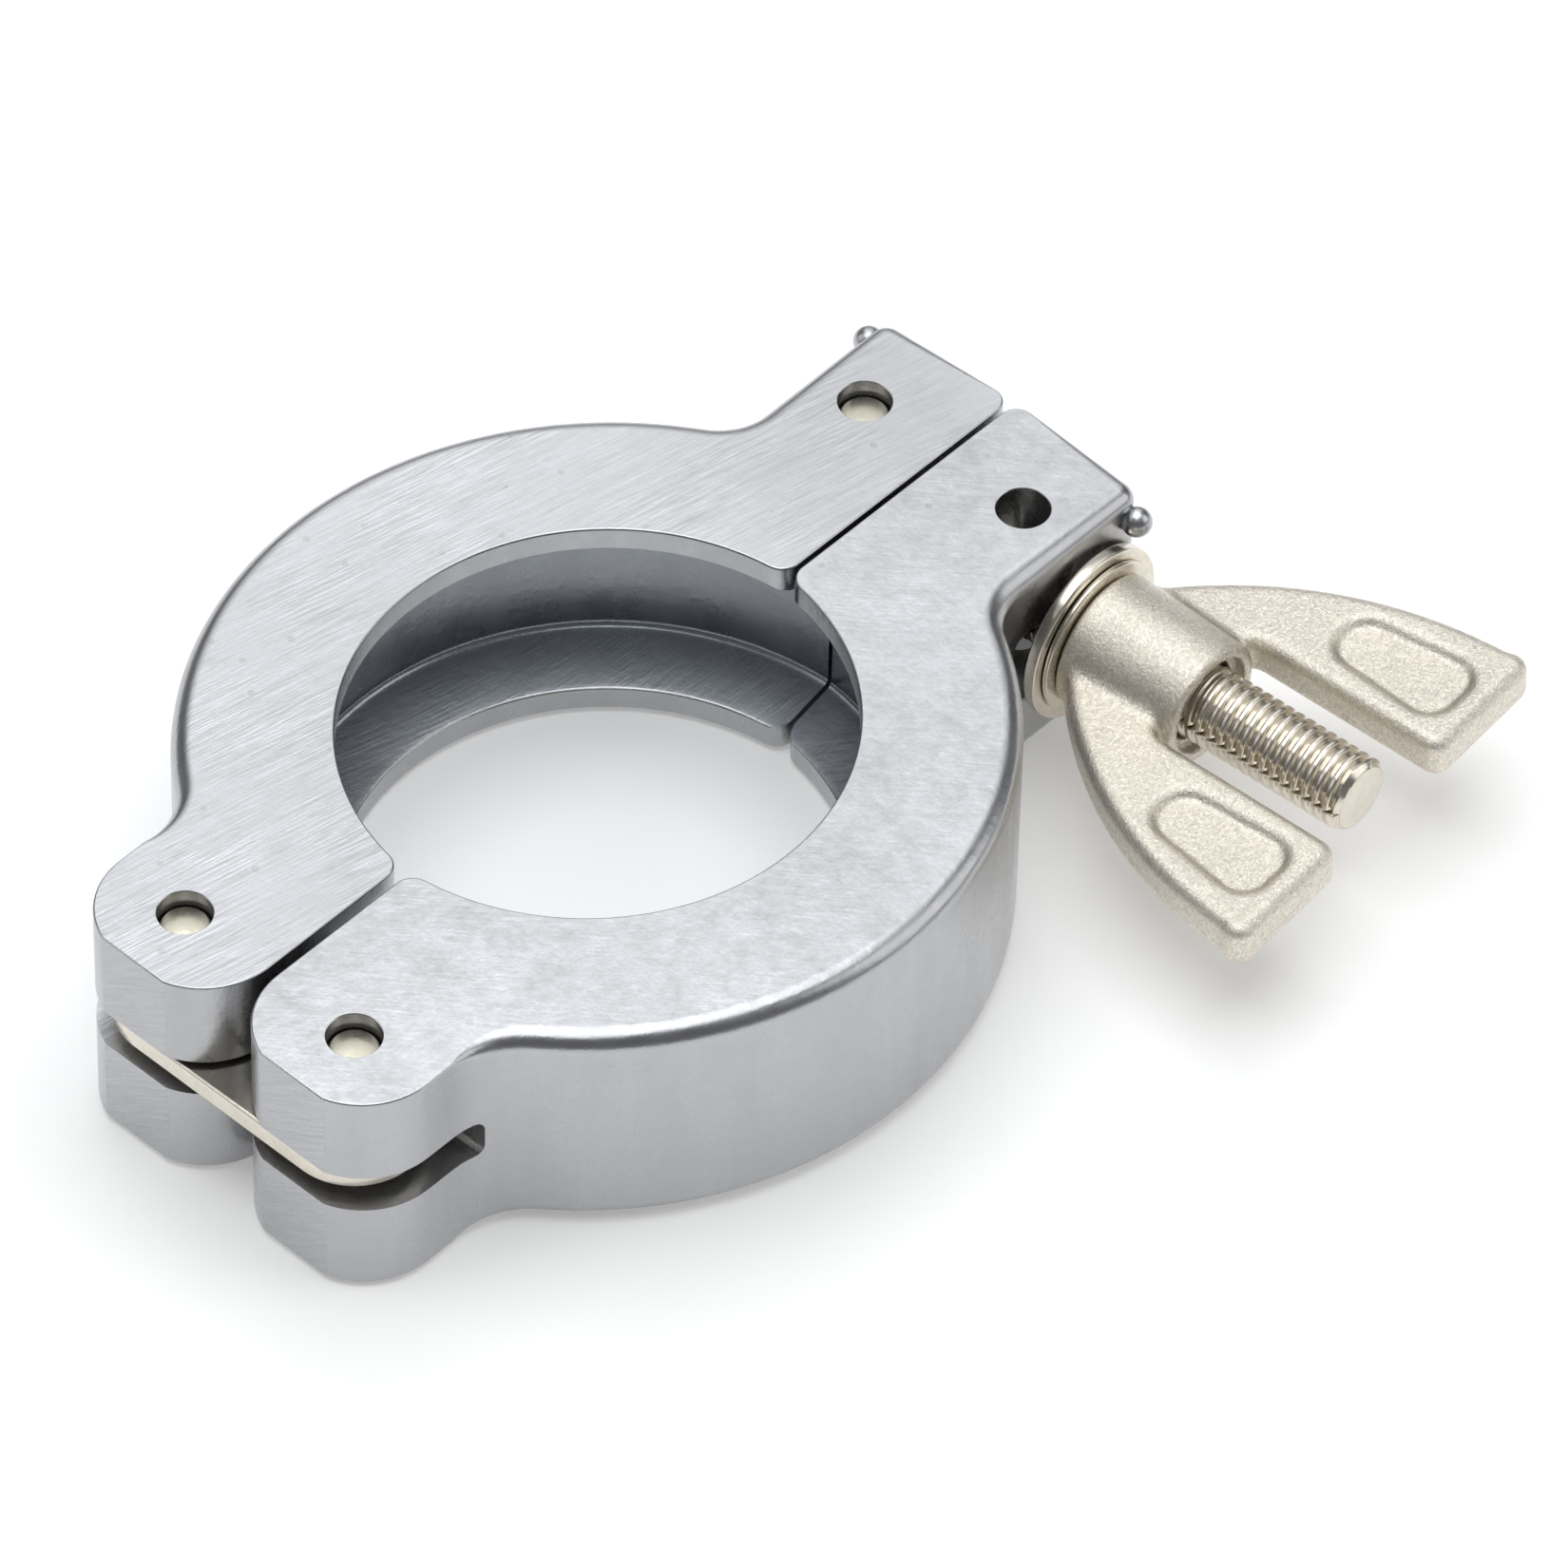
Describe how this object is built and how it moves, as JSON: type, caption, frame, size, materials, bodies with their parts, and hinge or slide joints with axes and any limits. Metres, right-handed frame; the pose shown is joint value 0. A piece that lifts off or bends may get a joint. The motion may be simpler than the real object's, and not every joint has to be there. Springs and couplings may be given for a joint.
{
  "type": "hinged flange clamp",
  "caption": "Hinged clamp for small vacuum flanges: cast jaws on a link plate, closed by a swing bolt with washers and a wing nut.",
  "frame": {"origin": "under the middle of the whole clamp's box, at the level of the jaws' lower face; the bore's axis passes 6.9 mm towards -X and 5.1 mm towards +Y of it", "axes": "+Z is the bore's axis; +X runs along the parting line from the hinge to the swing bolt; -Y is the wing nut's side"},
  "size_m": [0.078, 0.0594, 0.0156],
  "materials": {
    "cast_aluminium": "cast and linished, satin",
    "nickel_plate": "nickel plated, smooth",
    "nickel_pin": "nickel plated, satin",
    "blasted_nickel": "nickel plated over a blasted casting"
  },
  "bodies": {
    "jaw_a": {"jaw_a": "cast_aluminium", "hinge_pin_a": "nickel_pin", "bolt_pin": "nickel_pin"},
    "link": {"hinge_link": "nickel_plate"},
    "jaw_b": {"jaw_b": "cast_aluminium", "hinge_pin_b": "nickel_pin"},
    "swing_bolt": {"swing_bolt": "nickel_plate"},
    "thrust_washer": {"thrust_washer": "nickel_plate"},
    "thin_washer": {"thin_washer": "nickel_plate"},
    "wing_nut": {"wing_nut": "blasted_nickel"}
  },
  "joints": [
    {"name": "jaw_b_open", "type": "hinge", "parent": "link", "child": "jaw_b", "pos_m": [-0.03435, -0.00171, 0.0078], "axis": [0, 0, -1], "range_deg": [0, 20]},
    {"name": "link_swing", "type": "hinge", "parent": "jaw_a", "child": "link", "pos_m": [-0.03435, 0.01188, 0.0078], "axis": [0, 0, -1], "range_deg": [0, 20]},
    {"name": "bolt_swing", "type": "hinge", "parent": "jaw_a", "child": "swing_bolt", "pos_m": [0.02305, 0.01149, 0.0078], "axis": [0, 0, 1], "range_deg": [0, 70]},
    {"name": "nut_lift", "type": "slide", "parent": "swing_bolt", "child": "thrust_washer", "axis": [0.0523, -0.9986, 0], "range_m": [0, 0.066]},
    {"name": "nut_travel", "type": "slide", "parent": "thrust_washer", "child": "thin_washer", "axis": [0.0523, -0.9986, 0], "range_m": [0, 0.016]},
    {"name": "nut_spin", "type": "hinge", "parent": "thin_washer", "child": "wing_nut", "pos_m": [0.02305, 0.01149, 0.0078], "axis": [0.0523, -0.9986, 0], "range_deg": [0, 7200]}
  ],
  "couplings": [
    {"joint": "link_swing", "follows": "jaw_b_open", "ratio": 1},
    {"joint": "bolt_swing", "follows": "jaw_b_open", "ratio": 3.5},
    {"joint": "nut_lift", "follows": "jaw_b_open", "m_per_rad": 0.18908},
    {"joint": "nut_travel", "follows": "nut_spin", "m_per_rad": 0.00012732}
  ]
}
